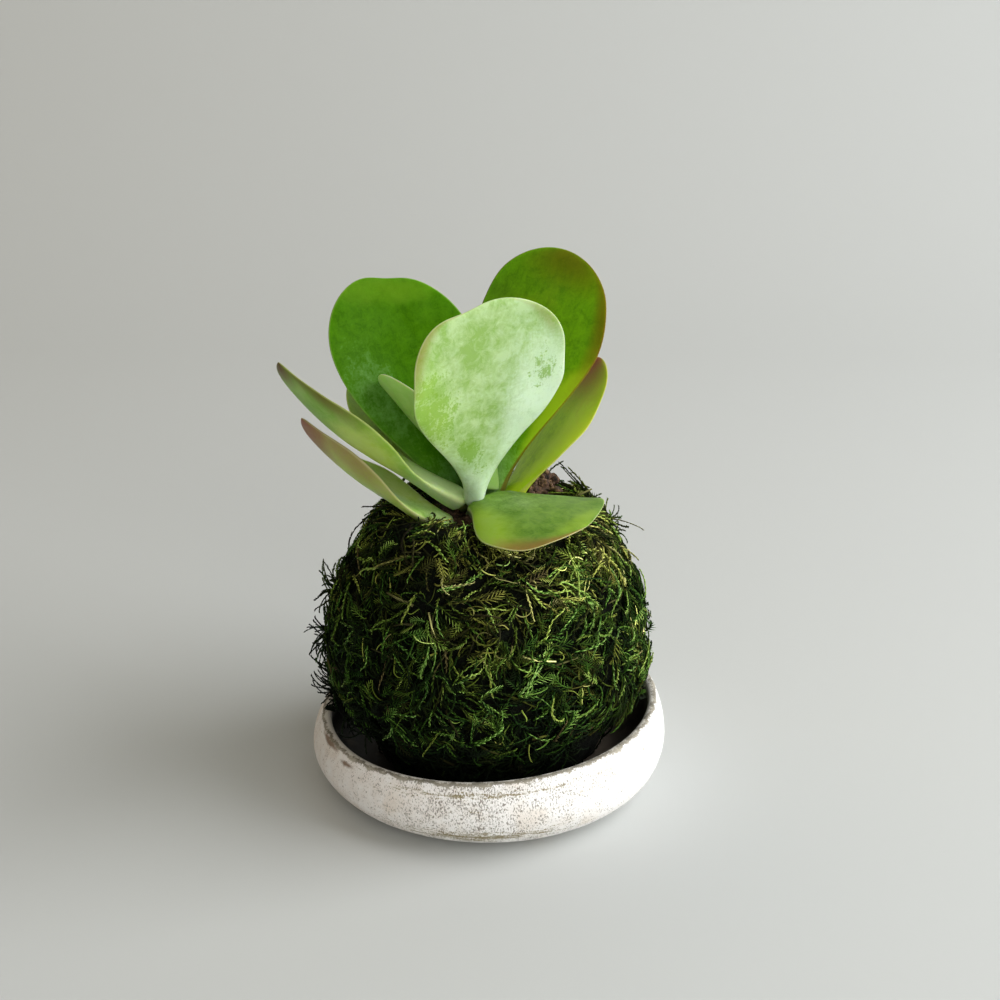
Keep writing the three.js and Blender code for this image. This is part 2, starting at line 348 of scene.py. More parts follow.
@dataclass(frozen=True)
class LeafSkin:
    """Succulent leaf: a waxy, slightly see-through green skin under a powdery pale bloom.

    The bloom lies in soft clouds and lengthwise streaks, dulls the skin's satin gloss and is rubbed off in
    a few sharp patches. The margin has a pale hem, and sun turns parts of it red-brown. Brighter green
    patches are a painted glow of light shining through the leaf.

    Attributes:
        body: The upper skin's green.
        deep: The same along its darker fibres.
        under: The lower skin's green.
        bloom: The powder's colour.
        bloom_share: How much of the skin the powder hides.
        frost: The bluer colour of the powder where it has gathered.
        frosting: How far the gathered powder takes that colour.
        rim: The sun-burnt colour.
        glow: The brighter green of the painted glow, light shining through the leaf.
        hem: The thin line at the very margin.
        hem_share: How clearly the hem shows.
        gloss: How strongly the skin mirrors.
    """

    body: str
    deep: str
    under: str
    bloom: str
    bloom_share: float
    rim: str = "7c3c12"
    glow: str = "a8c424"
    frost: str = "bcdccc"
    frosting: float = 0.6
    hem: str = "ccd8ac"
    hem_share: float = 0.5
    gloss: float = 0.25

    def material(self, name: str) -> Material:
        """Build the skin, its bloom, its marks and its hem under a name."""
        made, add = blank_material(name)
        place = add("TexCoord", out="Object")
        blade = add("UVMap", uv_map="blade")
        edge, upper, burn, glow, dust, bare = (
            add("Attribute", attribute_name=name, out="Fac")
            for name in ("edge", "upper", "burn", "glow", "dust", "bare")
        )
        stretched = add("Mapping", {"Vector": blade, "Scale": (1.0, 0.12, 1.0)})
        cloud, fleck, fibre, pore = (
            add(
                "TexNoise",
                {
                    "Vector": at, "Scale": per_mm(size), "Detail": detail, "Roughness": rough,
                    "Distortion": swirl,
                },
            )
            for at, size, detail, rough, swirl in (
                (place, 13.0, 6.0, 0.6, 0.0), (place, 4.0, 8.0, 0.74, 0.5), (stretched, 1.3, 6.0, 0.7, 0.0),
                (place, 0.7, 2.0, 0.5, 0.0),
            )
        )
        mottle = add("Math", {0: fibre, 1: 0.35, 2: fleck}, **TIMES_PLUS)
        grainy = add("Math", {0: pore, 1: 0.3, 2: mottle}, **TIMES_PLUS)
        # Painted light: where the glow mark lies, the skin turns the brighter green of light shining
        # through it.
        painted_glow, streaky, touched, ragged = (
            add("Math", {0: one, 1: share, 2: other}, **TIMES_PLUS)
            for one, share, other in (
                (cloud, 0.9, glow), (grainy, 0.9, dust), (bare, 0.5, grainy), (mottle, 0.5, burn)
            )
        )
        mixed = add("Math", {0: cloud, 1: fleck}, operation="ADD")
        below, bright, powder, gathered, kept, cold, burnt, line = (
            add("MapRange", {"Value": value, 1: low, 2: high, 3: start, 4: end})
            for value, low, high, start, end in (
                (upper, -0.2, 0.2, 1.0, 0.0), (painted_glow, 0.6, 1.1, 0.0, 0.9),
                (mixed, 0.84, 1.12, 0.3 * self.bloom_share, self.bloom_share),
                (streaky, 0.96, 1.72, 0.0, 0.9), (touched, 1.08, 1.2, 1.0, 0.2),
                (dust, 0.0, 1.0, 0.0, self.frosting), (ragged, 0.42, 1.35, 0.0, 1.0),
                (edge, 0.4, 0.75, self.hem_share, 0.0),
            )
        )
        # The powder: soft clouds, thicker in streaks where it has gathered, gone where it was touched.
        lying = add("Math", {0: powder, 1: gathered}, operation="MAXIMUM")
        share = add("Math", {0: lying, 1: kept}, operation="MULTIPLY")
        wax = add("Mix", {0: cold, 6: self.bloom, 7: self.frost}, **COLOUR_MIX)
        colour = add("ValToRGB", {"Fac": grainy}, stops=[(0.68, self.deep), (0.98, self.body)])
        for amount, over in (
            (below, self.under), (bright, self.glow), (share, wax), (burnt, self.rim), (line, self.hem)
        ):
            colour = add("Mix", {0: amount, 6: colour, 7: over}, **COLOUR_MIX)
        rough = add("MapRange", {"Value": share, 3: 0.42, 4: 0.62})
        relief = add("Math", {0: grainy, 1: 0.6, 2: cloud}, **TIMES_PLUS)
        bump = add("Bump", {"Height": relief, "Strength": 0.35, "Distance": 0.3 * MM})
        shader = add(
            "BsdfPrincipled",
            {
                "Base Color": colour, "Roughness": rough, "Normal": bump, "Specular IOR Level": self.gloss,
                "Subsurface Weight": 0.35, "Subsurface Radius": (0.7, 1.0, 0.2),
                "Subsurface Scale": 2.5 * MM,
            },
        )
        add("OutputMaterial", {"Surface": shader})
        return made


@dataclass(frozen=True)
class MossGreen:
    """Living sheet moss: thin moist leaflets with a faint gloss.

    Each strand has a tint of its own, from deep green through olive to straw and dead brown, and a tone
    that is darker deep in the mat, as painted shade, and paler towards the growing tip. The bake map holds
    both.
    The palest tones are washed towards grey-green as a painted sheen.
    """

    tints: tuple[tuple[float, str], ...] = (
        (0.0, "16300a"), (1.0, "6a4a1c"), (0.25, "2c5e14"), (0.45, "4f801e"), (0.62, "7d922e"),
        (0.78, "aaa94b"), (0.9, "cbc987"),
    )
    sheen_grey: str = "a9b07a"
    palest: float = 4.0

    def material(self) -> Material:
        """Build the moss from each strand's tint and tone."""
        made, add = blank_material("sheet moss")
        strand = add("UVMap", uv_map=BAKE_MAP)
        parts = add("SeparateXYZ", {0: strand})
        tint = add("ValToRGB", {"Fac": parts}, stops=self.tints)
        tone = add("MapRange", {"Value": parts.node.outputs[1], 4: self.palest})
        # Painted sheen: the palest tones are washed towards grey-green.
        sheen_share = add("MapRange", {"Value": parts.node.outputs[1], 1: 0.08, 2: 0.7, 4: 0.35})
        sheen_washed = add("Mix", {0: sheen_share, 6: tint, 7: self.sheen_grey}, **COLOUR_MIX)
        colour = add("VectorMath", {0: sheen_washed, 3: tone}, operation="SCALE")
        shader = add("BsdfPrincipled", {"Base Color": colour, "Roughness": 0.8, "Specular IOR Level": 0.12})
        add("OutputMaterial", {"Surface": shader})
        return made


@dataclass(frozen=True)
class Grain:
    """A dull, grainy matter, coloured and raised by one pattern.

    Attributes:
        name: The material's name.
        size: Size of the grains, in millimetres.
        detail: How many finer patterns lie over the first.
        ragged: How strong those are.
        colours: Places and hex colours of the pattern's ramp, or one colour alone.
        relief: Strength of the relief and its height in millimetres.
        rough: How dull the matter is.
        mirror: How strongly it mirrors.
        stirred: How far the pattern is stirred.
    """

    name: str
    size: float
    detail: float
    ragged: float
    colours: tuple[tuple[float, str], ...]
    relief: tuple[float, float]
    rough: float
    mirror: float = 0.5
    stirred: float = 0.0

    def material(self) -> Material:
        """Build the matter's colours and its relief."""
        made, add = blank_material(self.name)
        place = add("TexCoord", out="Object")
        grain = add(
            "TexNoise",
            {
                "Vector": place, "Scale": per_mm(self.size), "Detail": self.detail,
                "Roughness": self.ragged, "Distortion": self.stirred,
            },
        )
        colour = self.colours[0][1]
        if len(self.colours) > 1:
            colour = add("ValToRGB", {"Fac": grain}, stops=self.colours)
        strength, height = self.relief
        bump = add("Bump", {"Height": grain, "Strength": strength, "Distance": height * MM})
        shader = add(
            "BsdfPrincipled",
            {
                "Base Color": colour, "Roughness": self.rough, "Specular IOR Level": self.mirror,
                "Normal": bump,
            },
        )
        add("OutputMaterial", {"Surface": shader})
        return made


# The moss's darker matted underside, seen in the gaps between strands, coloured nearly black as painted
# shade.
MATTED_MOSS_PAINTED_SHADE = Grain(
    "matted moss", 1.8, 6.0, 0.7, ((0.5, "050703"), (0.75, "1a2410")), (0.9, 1.0), 1.0, 0.15, 1.5
)
# Moist peat with crumbs of composted bark, of which the loose ones are drier.
SOIL = Grain(
    "potting soil", 2.0, 5.0, 0.7, ((0.38, "160e09"), (0.72, "8b6a55"), (0.55, "4a3526")), (0.7, 0.6), 0.92
)
LOOSE_SOIL = replace(SOIL, colours=((0.38, "160e09"), (0.72, "a58468"), (0.55, "5a4130")))
# Matt off-white paper with a faint tooth.
STUDIO_PAPER = Grain("studio paper", 1.5, 3.0, 0.5, ((0.0, "c2c5c4"),), (0.15, 0.1), 0.85)


# ---- saucer ----


@dataclass
class Saucer:
    """The thrown saucer, in millimetres: a flat foot, a round belly and a rolled lip.

    Attributes:
        swell: Strength of the slow swelling, with its size along and up the wall.
        rings: Size of the potter's rings along and up the wall.
        scratched: Height, reach and strength of each scratched band round the front.
        rust_at: Compass direction in degrees, height and reach of each rusty-brown stain.
    """

    foot_radius: float = 48.0
    belly_radius: float = 65.0
    belly_height: float = 17.0
    rim_radius: float = 60.2
    lip_radius: float = 2.0
    height: float = 29.5
    floor: float = 7.5
    well_radius: float = 48.0
    inner_radius: float = 58.4
    rim_slope: float = 0.06
    sides: int = 160
    throwing_mm: float = 0.22
    swell: tuple[float, float, float] = (1.6, 45.0, 6.0)
    rings: tuple[float, float] = (90.0, 1.9)
    scratched: tuple[tuple[float, float, float], ...] = (
        (25.6, 0.9, 1.0), (15.0, 0.8, 0.6), (9.3, 1.5, 1.0)
    )
    rust_at: tuple[tuple[float, float, float], ...] = (
        (203.0, 27.5, 1.5), (217.0, 25.4, 0.8), (236.0, 25.2, 0.6)
    )

    def profile(self) -> list[tuple[float, float]]:
        """List the section's [radius, height] points from the foot's middle to the well's middle."""
        crown = self.height - self.lip_radius
        outside = [
            (0.0, 0.0), (self.foot_radius * 0.6, 0.0), (self.foot_radius - 1.5, 0.0),
            (self.foot_radius, 0.15), (self.foot_radius + 1.5, 0.5), (self.foot_radius + 6.5, 1.9),
            (self.foot_radius + 11.5, 4.9), (self.foot_radius + 15.3, 9.4),
            (self.belly_radius - 0.15, 13.8), (self.belly_radius, self.belly_height),
            (self.belly_radius - 0.35, 20.6), (self.belly_radius - 1.2, 23.6),
            (self.belly_radius - 2.2, 26.0),
        ]
        lip = [
            (
                self.rim_radius + self.lip_radius * math.cos(math.radians(turn)),
                crown + self.lip_radius * math.sin(math.radians(turn)),
            )
            for turn in (0, 20, 40, 60, 80, 100, 120, 140, 160, 180)
        ]
        inside = [
            (self.inner_radius - 0.1, crown - 2.5), (self.inner_radius + 0.2, self.belly_height + 2),
            (self.inner_radius - 0.6, self.belly_height - 2.5), (self.well_radius + 6.5, self.floor + 3.2),
            (self.well_radius + 2.5, self.floor + 0.8), (self.well_radius - 4, self.floor),
            (self.well_radius * 0.5, self.floor), (0.0, self.floor),
        ]
        return outside + lip + inside

    def build(self) -> Piece:
        """Spin the section, slope the rim, add throwing rings and dress the result."""
        bm = spun(self.profile(), self.sides)
        for vert in bm.verts:
            self.throw(vert)
        piece = own_mesh(bm, "saucer_body")
        self.mark(piece)
        smoother = piece.modifiers.new("round", "SUBSURF")
        smoother.levels = smoother.render_levels = 1
        dress(piece, ClayWash().material(), "whitewashed_terracotta", "saucer")
        return piece

    def tilt(self, x: Array, radius: Array, height: Array) -> Array:
        """Give how much the sloping rim raises a place on the wall."""
        share = np.clip(height / self.height, 0, 1)
        return self.rim_slope * x * share**2 * ease(radius, self.well_radius, self.inner_radius)

    def throw(self, vert: bmesh.types.BMVert) -> None:
        """Move one vertex by the rim's slope and the potter's rings."""
        x, y, height = vert.co
        radius = math.hypot(x, y)
        if radius > 1:
            strength, long, tall = self.swell
            swell = noise.noise(Vector((x / long, y / long, height / tall)))
            long, tall = self.rings
            ripple = noise.noise(Vector((x / long + 7, y / long, height / tall)))
            wall = float(ease(radius, self.well_radius, self.inner_radius)) * min(height / 4, 1)
            step = self.throwing_mm * wall * (strength * swell + ripple)
            vert.co.x += step * x / radius
            vert.co.y += step * y / radius
        vert.co.z += float(self.tilt(x, radius, height))

    def mark(self, piece: Piece) -> None:
        """Mark the worn lip, the rubbed front, the scratched bands, the damp well that darkens with depth
        as painted shade, and the painted shade on the left side, for the material.
        """
        x, y, z = (np.array([vert.co[:] for vert in piece.data.vertices]) / MM).T
        radius = np.hypot(x, y)
        height = z - self.tilt(x, radius, z)
        crown = self.height - self.lip_radius
        inside = (radius < self.rim_radius) & (height > self.floor - 1)
        over = np.arctan2(height - crown, radius - self.rim_radius) / math.pi
        front = np.exp(-((np.degrees(np.arctan2(x + 4, -y)) / 42) ** 2))
        bands = sum(
            strength * np.exp(-(((height - level) / reach) ** 2))
            for level, reach, strength in self.scratched
        )
        compass = np.degrees(np.arctan2(y, x)) % 360
        rusty = []
        for turn, level, reach in self.rust_at:
            along = (compass - turn) * radius / DEGREES_PER_RADIAN
            rusty.append(np.exp(-((along / (6 * reach)) ** 2) - ((height - level) / reach) ** 2))
        paint(piece, "rusty", np.where(inside, 0.0, np.max(rusty, axis=0)))
        # Painted shade: the stain colour is laid on more thickly towards the left side, away from the
        # light.
        paint(piece, "stained_and_shaded", ease(-x - 0.3 * y, -15, 60))
        wider = 0.07 + 0.1 * ease(-x, -30, 50)
        on_lip = np.clip(over, 0, 1) + wider * ease(over, -0.1, 0.1)
        paint(piece, "lip", np.where(height > crown - 1, on_lip, np.where(inside, 1.0, 0.0)))
        # Partly painted shade: the damp colour deepens over about 6 mm below the rim down into the well.
        paint(piece, "well", np.where(inside, ease(crown + 0.6 - height, 0.0, 6.0), 0.0))
        paint(piece, "rubbed", np.where(inside, 0.3, front))
        paint(piece, "band", np.where(inside, 0.0, front**2 * bands))


# ---- moss ball ----


@dataclass
class BallShape:
    """The moss ball's outer form, in millimetres.

    Attributes:
        tuck: How far the side is drawn in above the foot, between the heights in tucked.
        bulge: How late the side turns in towards the shoulder.
        brow: Heights between which the strands lie down towards the mouth.
        lump_mm: How high the lumps are, of the size in lump_size.
        hollows: Compass direction in degrees, height, reach and depth of each dent in the side.
    """

    low: float = 7.8
    rest_radius: float = 32.0
    waist_radius: float = 58.0
    waist_height: float = 54.0
    shoulder_radius: float = 39.0
    shoulder_height: float = 101.0
    top: float = 105.5
    mouth_radius: float = 25.0
    tuck: float = 6.0
    tucked: tuple[float, float, float, float] = (7.0, 15.0, 24.0, 45.0)
    bulge: float = 2.1
    brow: tuple[float, float] = (96.0, 103.0)
    lump_mm: float = 2.1
    lump_size: float = 13.0
    hollows: tuple[tuple[float, float, float, float], ...] = (
        (2.0, 90.0, 10.0, 6.0), (10.0, 101.0, 8.0, -2.0), (-4.0, 56.0, 15.0, 4.4),
        (-38.0, 20.0, 20.0, 9.0), (180.0, 62.0, 14.0, 2.0), (213.0, 22.0, 18.0, 3.0),
        (96.0, 70.0, 24.0, 3.0), (135.0, 42.0, 18.0, 2.0), (240.0, 101.0, 14.0, -4.5),
    )

    def side(self, height: float) -> float:
        """Give the ball's radius at a height between its foot and its shoulder."""
        if height < self.waist_height:
            down = (self.waist_height - height) / (self.waist_height - self.low)
            wider = self.waist_radius - self.rest_radius
            full = self.rest_radius + wider * math.sqrt(max(1 - down**2, 0))
            foot, lowest, highest, side = self.tucked
            return full - self.tuck * float(ease(height, side, highest)) * float(ease(height, foot, lowest))
        up = (height - self.waist_height) / (self.shoulder_height - self.waist_height)
        return self.waist_radius + (self.shoulder_radius - self.waist_radius) * up**self.bulge

    def section(self, steps: int = 46) -> list[tuple[float, float]]:
        """List the outside's [radius, height] points from the foot's edge to the mouth."""
        points = []
        for step in range(steps + 1):
            share = (1 - math.cos(math.pi * step / steps)) / 2
            height = self.low + (self.shoulder_height - self.low) * share
            points.append((self.side(height), height))
        inward = self.shoulder_radius - self.mouth_radius - 4
        for turn in (25, 50, 75, 90):
            angle = math.radians(turn)
            radius = self.shoulder_radius - inward * (1 - math.cos(angle))
            height = self.shoulder_height + (self.top - self.shoulder_height) * math.sin(angle)
            points.append((radius, height))
        points.append((self.mouth_radius + 0.5, self.top - 1.5))
        return points

    def lump(self, point: Vector) -> float:
        """Give how far the surface stands proud at a point, in millimetres."""
        proud = self.lump_mm * (
            noise.noise(point / self.lump_size) + 0.55 * noise.noise(point / (self.lump_size * 0.4))
        )
        for compass, height, reach, depth in self.hollows:
            turn = math.radians(compass)
            out = Vector((math.cos(turn), math.sin(turn), 0))
            centre = out * self.side(height) + Vector((0, 0, height))
            proud -= depth * math.exp(-((point - centre).length_squared) / reach**2)
        return proud


@dataclass
class MossGround:
    """The matted body of the moss, which the strands grow from, coloured nearly black as painted shade in
    the gaps.
    """

    shape: BallShape
    inset: float = 2.0
    wall: float = 6.0
    sides: int = 120

    def build(self) -> Piece:
        """Spin the section with a wall behind it, raise lumps on it and dress it."""
        shape = self.shape
        outside = [(max(radius - self.inset, 1), height) for radius, height in shape.section()]
        outside[-1] = (shape.mouth_radius + 0.5, shape.top - 4)
        inside = [(max(radius - self.wall, 1), height) for radius, height in reversed(outside[3:-4:3])]
        section = [(0.0, shape.low + 0.4), *outside, *inside, (0.0, shape.low + self.wall)]
        bm = spun(section, self.sides)
        for vert in bm.verts:
            if vert.co.z > shape.low + 2:
                vert.co += vert.normal * shape.lump(vert.co)
        piece = own_mesh(bm, "moss_ground")
        dress(piece, MATTED_MOSS_PAINTED_SHADE.material(), "sheet_moss", "moss_cover")
        return piece


class StrandKind(Enum):
    """The forms in which the moss grows."""

    CORD = "cord"
    FROND = "frond"
    THREAD = "thread"
    BLADE = "blade"


@dataclass
class StrandPattern:
    """One strand of moss laid straight along X, in millimetres, to be bent and copied."""

    kind: StrandKind
    length: float = 10.0
    leaflet: float = 1.3
    leaflet_radius: float = 0.36

    def mesh(self) -> BMesh:
        """Build the strand's stem and its leaflets or branches, with how pale each point is, leaflet bases
        darkened as painted shade.
        """
        bm = bmesh.new()
        bm.verts.layers.float.new("pale")
        if self.kind is StrandKind.BLADE:
            self.stem(bm, 0.5, 0.3, 1)
        elif self.kind is StrandKind.THREAD:
            self.stem(bm, 0.3, 0.14, 7)
        elif self.kind is StrandKind.CORD:
            self.stem(bm, 0.34, 0.16, 4)
            for index in range(12):
                around = math.radians((index * GOLDEN_ANGLE) % 250 - 125)
                lean = math.radians(25 + 10 * math.sin(index * 2.3))
                self.spike(bm, (index + 0.3) / 12, around, lean, self.leaflet * (1.1 - 0.03 * index))
        else:
            self.stem(bm, 0.28, 0.12, 4)
            for index in range(13):
                side = math.radians(80 if index % 2 else -80)
                reach = 3.4 * math.sin(0.5 + 0.19 * index)
                self.spike(bm, 0.06 + 0.07 * index, side, math.radians(46 - 1.5 * index), reach)
        bmesh.ops.triangulate(bm, faces=bm.faces[:])
        return bm

    def stem(self, bm: BMesh, thick: float, thin: float, cuts: int) -> None:
        """Add a three-sided stem that tapers along X."""
        along = Matrix.Translation((self.length / 2, 0, 0)) @ Matrix.Rotation(math.pi / 2, 4, "Y")
        rod(bm, 3, (thick, thin), self.length, along, cuts)
        layer = bm.verts.layers.float["pale"]
        for vert in bm.verts:
            vert[layer] = 0.35 if self.kind is StrandKind.CORD else 0.9

    def spike(self, bm: BMesh, share: float, around: float, lean: float, reach: float) -> None:
        """Add one pointed leaflet or branch.

        Args:
            bm: The strand's mesh.
            share: Where it leaves the stem, as a share of the stem's length.
            around: Which side it leaves from, as a turn about the stem from its top.
            lean: Angle between it and the stem, in radians.
            reach: Its length.
        """
        place = Matrix.Translation((self.length * share, 0, 0)) @ Matrix.Rotation(around, 4, "X")
        lying = Matrix.Rotation(math.pi / 2 - lean, 4, "Y") @ Matrix.Translation((0, 0, reach / 2))
        made = bmesh.ops.create_cone(
            bm, cap_ends=False, segments=3,
            radius1=self.leaflet_radius * (0.75 if self.kind is StrandKind.FROND else 1), radius2=0.0,
            depth=reach, matrix=place @ lying,
        )
        # Partly painted: a leaflet is paler at its tip, and darker at its base, where it meets the stem, as
        # painted shade.
        for vert in made["verts"]:
            tip = (vert.co - place.translation).length > reach * 0.8
            vert[bm.verts.layers.float["pale"]] = 1.6 if tip else 0.15


@dataclass(frozen=True)
class Tuft:
    """A place where strands stand out of the ball: compass in degrees, height and reach in millimetres."""

    compass: float
    height: float
    spread: float


@dataclass
class StrandLayer:
    """Many bent copies of one strand, rooted all over the ball or in tufts.

    Attributes:
        length: Least and greatest length, as shares of the pattern's.
        lift: Least and greatest angle between a strand's root and the surface, in degrees.
        curl: Spread of a strand's whole turn along the surface, in radians.
        fat: How thick the strands are, as a share of the pattern's.
        depth: How far the roots stand out of the surface, in millimetres.
        tint: Middle and spread of the tints.
        tone: Tone of the deepest parts, kept dark as painted shade, and of the topmost.
        droop: How much further than their lift the strands bend down again, as shares of it.
        scatter: How far headings stray from their neighbours', in radians.
        tufts: The places to root in, or none for the whole ball.
    """

    name: str
    kind: StrandKind
    count: int
    shape: BallShape
    seed: int
    length: tuple[float, float] = (0.6, 1.5)
    lift: tuple[float, float] = (0.0, 20.0)
    curl: float = 0.75
    fat: float = 1.0
    depth: tuple[float, float] = (-1.2, 0.7)
    tint: tuple[float, float] = (0.43, 0.11)
    tone: tuple[float, float] = (0.02, 0.5)
    droop: tuple[float, float] = (1.3, 2.4)
    scatter: float = 0.5
    tufts: tuple[Tuft, ...] = ()
    roots: Array = field(init=False)
    normals: Array = field(init=False)
    stand: Array = field(init=False)
    proud: Array = field(init=False)

    def build(self) -> Piece:
        """Root, bend, colour and join the strands."""
        rng = np.random.default_rng(self.seed)
        pattern = StrandPattern(self.kind)
        bm = pattern.mesh()
        bm.verts.index_update()
        straight = np.array([vert.co[:] for vert in bm.verts])
        pale = np.array([vert[bm.verts.layers.float["pale"]] for vert in bm.verts])
        faces = np.array([[vert.index for vert in face.verts] for face in bm.faces])
        bm.free()
        self.root(rng)
        points = self.bend(rng, straight, pattern.length)
        piece = self.join(points, faces)
        self.colour(piece, straight, pale, faces, rng)
        return piece

    def root(self, rng: Rng) -> None:
        """Choose where the strands grow and which way the surface faces there."""
        section = np.array([*self.shape.section(), (self.shape.mouth_radius - 9, self.shape.top - 2.5)])
        runs = np.linalg.norm(np.diff(section, axis=0), axis=1)
        middles = (section[1:, 0] + section[:-1, 0]) / 2
        reach = np.concatenate([[0], np.cumsum(runs * middles)])
        turn = rng.uniform(0, math.tau, self.count)
        where = np.interp(rng.uniform(0.03, 1, self.count) * reach[-1], reach, np.arange(len(section)))
        if self.tufts:
            chosen = [self.tufts[index] for index in rng.integers(0, len(self.tufts), self.count)]
            stray = rng.normal(0, 1, (self.count, 2)) * np.array([[tuft.spread] for tuft in chosen])
            turn = np.radians([tuft.compass for tuft in chosen]) + stray[:, 0] / self.shape.waist_radius
            height = np.array([tuft.height for tuft in chosen]) + stray[:, 1]
            outside = slice(0, len(section) - 6)
            where = np.interp(height, section[outside, 1], np.arange(len(section))[outside])
        low = np.minimum(where.astype(int), len(section) - 2)
        share = (where - low)[:, None]
        spot = section[low] * (1 - share) + section[low + 1] * share
        run = section[low + 1] - section[low]
        run /= np.linalg.norm(run, axis=1)[:, None]
        out = np.stack([np.cos(turn), np.sin(turn)], 1)
        self.roots = np.column_stack([out * spot[:, :1], spot[:, 1]])
        self.normals = np.column_stack([out * run[:, 1:], -run[:, 0]])
        lumps = np.array([self.shape.lump(Vector(root)) for root in self.roots])
        self.stand = rng.uniform(*self.depth, self.count)
        self.roots += self.normals * (lumps + self.stand)[:, None]

    def drift(self, size: float, *start: float) -> Array:
        """Give smooth noise with features of a size in millimetres at each root."""
        return np.array([noise.noise(Vector(root) / size + Vector(start)) for root in self.roots])

    def headings(self, rng: Rng) -> tuple[Array, Array]:
        """Point neighbouring strands much the same way, with a few across.

        Args:
            rng: The layer's random numbers.

        Returns:
            Each strand's forward and sideways directions along the surface.
        """
        swirl = self.drift(25.0, 4, 7, 2)
        stray = np.where(rng.uniform(size=self.count) < 0.2, 3.0, 1.0) * self.scatter
        heading = swirl * math.tau * 1.3 - 0.9 + rng.normal(0, 1, self.count) * stray
        level = np.cross([0.0, 0.0, 1.0], self.normals)
        level /= np.maximum(np.linalg.norm(level, axis=1), 1e-6)[:, None]
        rise = np.cross(self.normals, level)
        ahead = level * np.cos(heading)[:, None] + rise * np.sin(heading)[:, None]
        return ahead, np.cross(self.normals, ahead)

    def bend(self, rng: Rng, straight: Array, length: float) -> Array:
        """Lay a bent copy of the pattern at every root.

        Args:
            rng: The layer's random numbers.
            straight: The straight strand's vertices.
            length: The straight strand's length.

        Returns:
            Vertex places in millimetres, one row of vertices per strand.
        """
        count = self.count
        ahead, beside = self.headings(rng)
        reach = length * rng.uniform(*self.length, count)[:, None]
        fat = self.fat * rng.uniform(0.75, 1.25, count)[:, None]
        turn = rng.normal(0, self.curl, count)[:, None]
        sway = rng.normal(0, 0.22, count)[:, None]
        phase = rng.uniform(0, math.tau, count)[:, None]
        calm = 1.0 if self.tufts else 1 - 0.8 * ease(self.roots[:, 2], *self.shape.brow)
        lift = rng.uniform(*self.lift, count) * (1 + 2 * rng.uniform(0, 1, count) ** 8) * calm
        lift = np.radians(lift)[:, None]
        fall = rng.uniform(*self.droop, count)[:, None] * np.maximum(lift, 0.06) + reach / MOSS_ACROSS
        beyond, cells = 1.2, 24
        grid = np.linspace(0, beyond, cells + 1)[None]
        bearing = turn * grid**1.7 + sway * np.sin(math.tau * grid + phase)
        slope = lift - fall * grid
        steps = [np.cos(bearing) * np.cos(slope), np.sin(bearing) * np.cos(slope), np.sin(slope)]
        run = [np.cumsum(step, axis=1) * reach * (beyond / cells) for step in steps]
        place = np.clip(straight[:, 0] / length, 0, beyond - 0.01) * (cells / beyond)
        low = place.astype(int)
        share = (place - low)[None]
        x, y, z, angle, pitch = (
            part[:, low] * (1 - share) + part[:, low + 1] * share for part in (*run, bearing, slope)
        )
        roll = rng.uniform(-0.9, 0.9, count)[:, None]
        flat, tall = straight[None, :, 1], straight[None, :, 2]
        wide = (flat * np.cos(roll) - tall * np.sin(roll)) * fat
        high = (flat * np.sin(roll) + tall * np.cos(roll)) * fat
        x = x - wide * np.sin(angle) - high * np.sin(pitch)
        y = y + wide * np.cos(angle)
        z = z + high * np.cos(pitch)
        self.proud = self.stand[:, None] + z + x**2 / MOSS_ACROSS
        points = (
            self.roots[:, None]
            + x[..., None] * ahead[:, None]
            + y[..., None] * beside[:, None]
            + z[..., None] * self.normals[:, None]
        )
        return self.keep_clear(points)

    def keep_clear(self, points: Array) -> Array:
        """Hold the strands inside the saucer's wall and off its floor."""
        radius = np.hypot(points[..., 0], points[..., 1])
        height = points[..., 2]
        floor, curve, rim = 8.0, 15.0, 31.0
        foot, wall, free = 50.0, 57.0, 69.0
        limit = np.where(height < rim, wall, free)
        limit = np.where(height < curve, foot + (height - floor), limit)
        shrink = np.minimum(limit / np.maximum(radius, 1), 1)
        points[..., :2] *= shrink[..., None]
        points[..., 2] = np.maximum(height, floor)
        return points

    def join(self, points: Array, faces: Array) -> Piece:
        """Join all the strands in one mesh."""
        count, size = points.shape[:2]
        every = (faces[None] + (np.arange(count) * size)[:, None, None]).reshape(-1, 3)
        mesh = bpy.data.meshes.new(self.name)
        mesh.vertices.add(count * size)
        mesh.vertices.foreach_set("co", (points * MM).astype(np.float32).ravel())
        mesh.loops.add(every.size)
        mesh.loops.foreach_set("vertex_index", every.astype(np.int32).ravel())
        mesh.polygons.add(len(every))
        mesh.polygons.foreach_set("loop_start", np.arange(0, every.size, 3, dtype=np.int32))
        mesh.update(calc_edges=True)
        mesh.validate()
        return place_data(self.name, mesh)

    def colour(self, piece: Piece, straight: Array, pale: Array, faces: Array, rng: Rng) -> None:
        """Write each strand's tint and tone to the bake map, so that equal places have equal colours.

        The tone carries painted light on the upper right and painted shade on the left, at the foot, in the
        pockets and deep in the mat.

        Args:
            piece: The joined strands.
            straight: The straight strand's vertices.
            pale: How pale each of those vertices is.
            faces: The straight strand's triangles.
            rng: The layer's random numbers.
        """
        patch, pocket = self.drift(21.0, 3, 9, 1), self.drift(8.0, 6, 1, 5)
        # Painted light: strands towards the upper right, where the light falls, get a brighter tone.
        painted_light_upper_right = self.roots @ np.array([0.0026, 0.0, 0.0032]) - 0.2
        olive = self.roots @ np.array([0.0012, -0.0004, 0.0042]) - 0.27
        tints = self.tint[0] + 0.2 * patch + olive + rng.normal(0, self.tint[1], self.count)
        dead = rng.uniform(size=self.count) < DEAD_SHARE
        tints = np.where(dead, DEAD_TINT, np.clip(tints, 0.03, 0.86))
        bright = (0.1 + 1.95 * rng.uniform(0, 1, self.count) ** 3) * (1 + 2.5 * np.maximum(painted_light_upper_right, 0))
